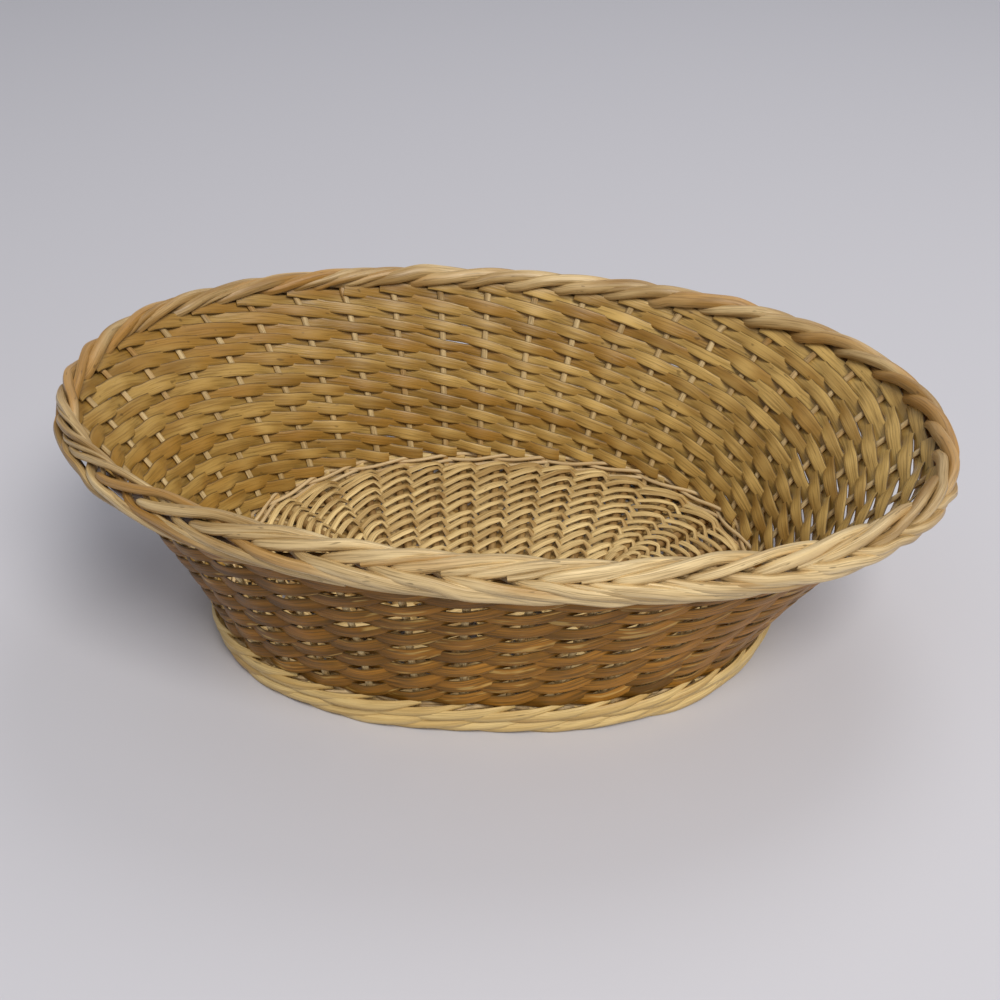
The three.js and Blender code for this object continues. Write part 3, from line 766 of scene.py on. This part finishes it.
# The foot: a band of strands, each climbing from the table past the next stakes and tucked in above.
# Its path has the stakes gone past, the distance outside the wall and the height.
FOOT_PATH = np.array([
    [-0.5, 1.4, 3.4],
    [-0.1, 3.8, 2.5],
    [0.4, 5.0, 3.0],
    [1.0, 5.3, 4.5],
    [1.5, 4.9, 6.2],
    [1.9, 3.3, 7.4],
    [2.2, 1.5, 8.0],
])
FOOT_START = 0.95
FOOT_ROWS = 2
FOOT_ROW_SHIFT = 0.5  # from the lower row to the upper, in stakes
FOOT_ROW_RISE = 6.4
FOOT_ROW_SLOPE = 0.6  # how much nearer the wall the upper row lies
FOOT_HALF_WIDTH = 2.45
FOOT_FLAT = 0.62
FOOT_TAPER = [[0, 0.15, 0.7, 1], [0.8, 1, 1, 0.45]]  # over the share of a strand
FOOT_WALK_SPREAD = 0.09
FOOT_RISE_SPREAD = 0.3
FOOT_OUT_SPREAD = 0.25
FOOT_WIDTH_SPREAD = 0.1
FOOT_TONE = 0.42
FOOT_TONE_SPREAD = 0.26
TABLE_GAP = 0.02


def add_foot_strand(strands, i):
    row = i // STAKES
    past, outside, z = FOOT_PATH.T
    walk = i + FOOT_START + FOOT_ROW_SHIFT * row + past + rng.normal(0, FOOT_WALK_SPREAD)
    rise = rise_at(walk, z + FOOT_ROW_RISE * row + rng.normal(0, FOOT_RISE_SPREAD))
    outside = outside - FOOT_ROW_SLOPE * row + rng.normal(0, FOOT_OUT_SPREAD)
    out = level_out(walk, rise)
    rows = smooth(np.concatenate([wall_point(walk, rise) + out * outside[:, None], out], 1), ROD_STEP)
    half = FOOT_HALF_WIDTH * rng.normal(1.0, FOOT_WIDTH_SPREAD)
    half = half * np.interp(np.linspace(0, 1, len(rows)), *FOOT_TAPER)
    rows[:, 2] = np.maximum(rows[:, 2], half + TABLE_GAP)
    tone = np.clip(rng.normal(FOOT_TONE, FOOT_TONE_SPREAD), 0, 1)
    strands.add(rows[:, :3], rows[:, 3:], FOOT_FLAT * half, half, power=2.4, tone=tone)


foot = Strands()
add_ring(foot, z=5.0, radius=1.7, inner=3.4, outer=2.0, shift=0.0)
for i in range(STAKES * FOOT_ROWS):
    add_foot_strand(foot, i)
foot.build("foot_band", FOOT, "foot_willow", "foot_rod")

# Floor, light and camera, in metres
TABLE_HALF = 6.0
TABLE_COLOUR = (198, 197, 202)
WORLD_COLOUR = (232, 234, 242)
WORLD_STRENGTH = 0.44
LAMPS_TO = Vector((0, 0, 0.05))
CAMERA_AT = Vector((0.0023, -0.526, 0.3816))
CAMERA_TO = Vector((-0.0036, 0.0005, 0.0491))
CAMERA_ROLL = math.radians(1.01)
SENSOR_WIDTH = 36.0
LENS = 44.46

floor_mesh = bpy.data.meshes.new("floor")
corners = [(x * TABLE_HALF, y * TABLE_HALF, 0) for x, y in ((-1, -1), (1, -1), (1, 1), (-1, 1))]
floor_mesh.from_pydata(corners, [], [(0, 1, 2, 3)])
floor = bpy.data.objects.new("floor", floor_mesh)
bpy.context.scene.collection.objects.link(floor)
table = bpy.data.materials.new("pale_table")
table.use_nodes = True
table.node_tree.nodes["Principled BSDF"].inputs["Base Color"].default_value = linear(TABLE_COLOUR)
table.node_tree.nodes["Principled BSDF"].inputs["Roughness"].default_value = 0.6
floor_mesh.materials.append(table)

world = bpy.data.worlds.new("studio")
world.use_nodes = True
world.node_tree.nodes["Background"].inputs["Color"].default_value = linear(WORLD_COLOUR)
world.node_tree.nodes["Background"].inputs["Strength"].default_value = WORLD_STRENGTH
bpy.context.scene.world = world


def area_lamp(name, location, size, watts, colour):
    data = bpy.data.lights.new(name, "AREA")
    data.shape = "DISK"
    data.size = size
    data.energy = watts
    data.color = colour
    lamp = bpy.data.objects.new(name, data)
    lamp.location = location
    lamp.rotation_euler = (LAMPS_TO - Vector(location)).to_track_quat("-Z", "Y").to_euler()
    bpy.context.scene.collection.objects.link(lamp)


area_lamp("key", (0.85, -1.75, 2.4), size=1.5, watts=76.0, colour=(1.0, 0.97, 0.93))
area_lamp("back", (0.8, 1.9, 2.8), size=1.8, watts=20.0, colour=(0.98, 0.98, 1.0))

camera_data = bpy.data.cameras.new("camera")
camera_data.sensor_width = SENSOR_WIDTH
camera_data.lens = LENS
camera = bpy.data.objects.new("camera", camera_data)
bpy.context.scene.collection.objects.link(camera)
ahead = (CAMERA_TO - CAMERA_AT).normalized()
right = ahead.cross(Vector(UP)).normalized()
top = right.cross(ahead)
right, top = (
    right * math.cos(CAMERA_ROLL) + top * math.sin(CAMERA_ROLL),
    top * math.cos(CAMERA_ROLL) - right * math.sin(CAMERA_ROLL),
)
camera.matrix_world = Matrix.Translation(CAMERA_AT) @ Matrix((right, top, -ahead)).transposed().to_4x4()
bpy.context.scene.camera = camera
bpy.context.scene.view_settings.view_transform = "Standard"
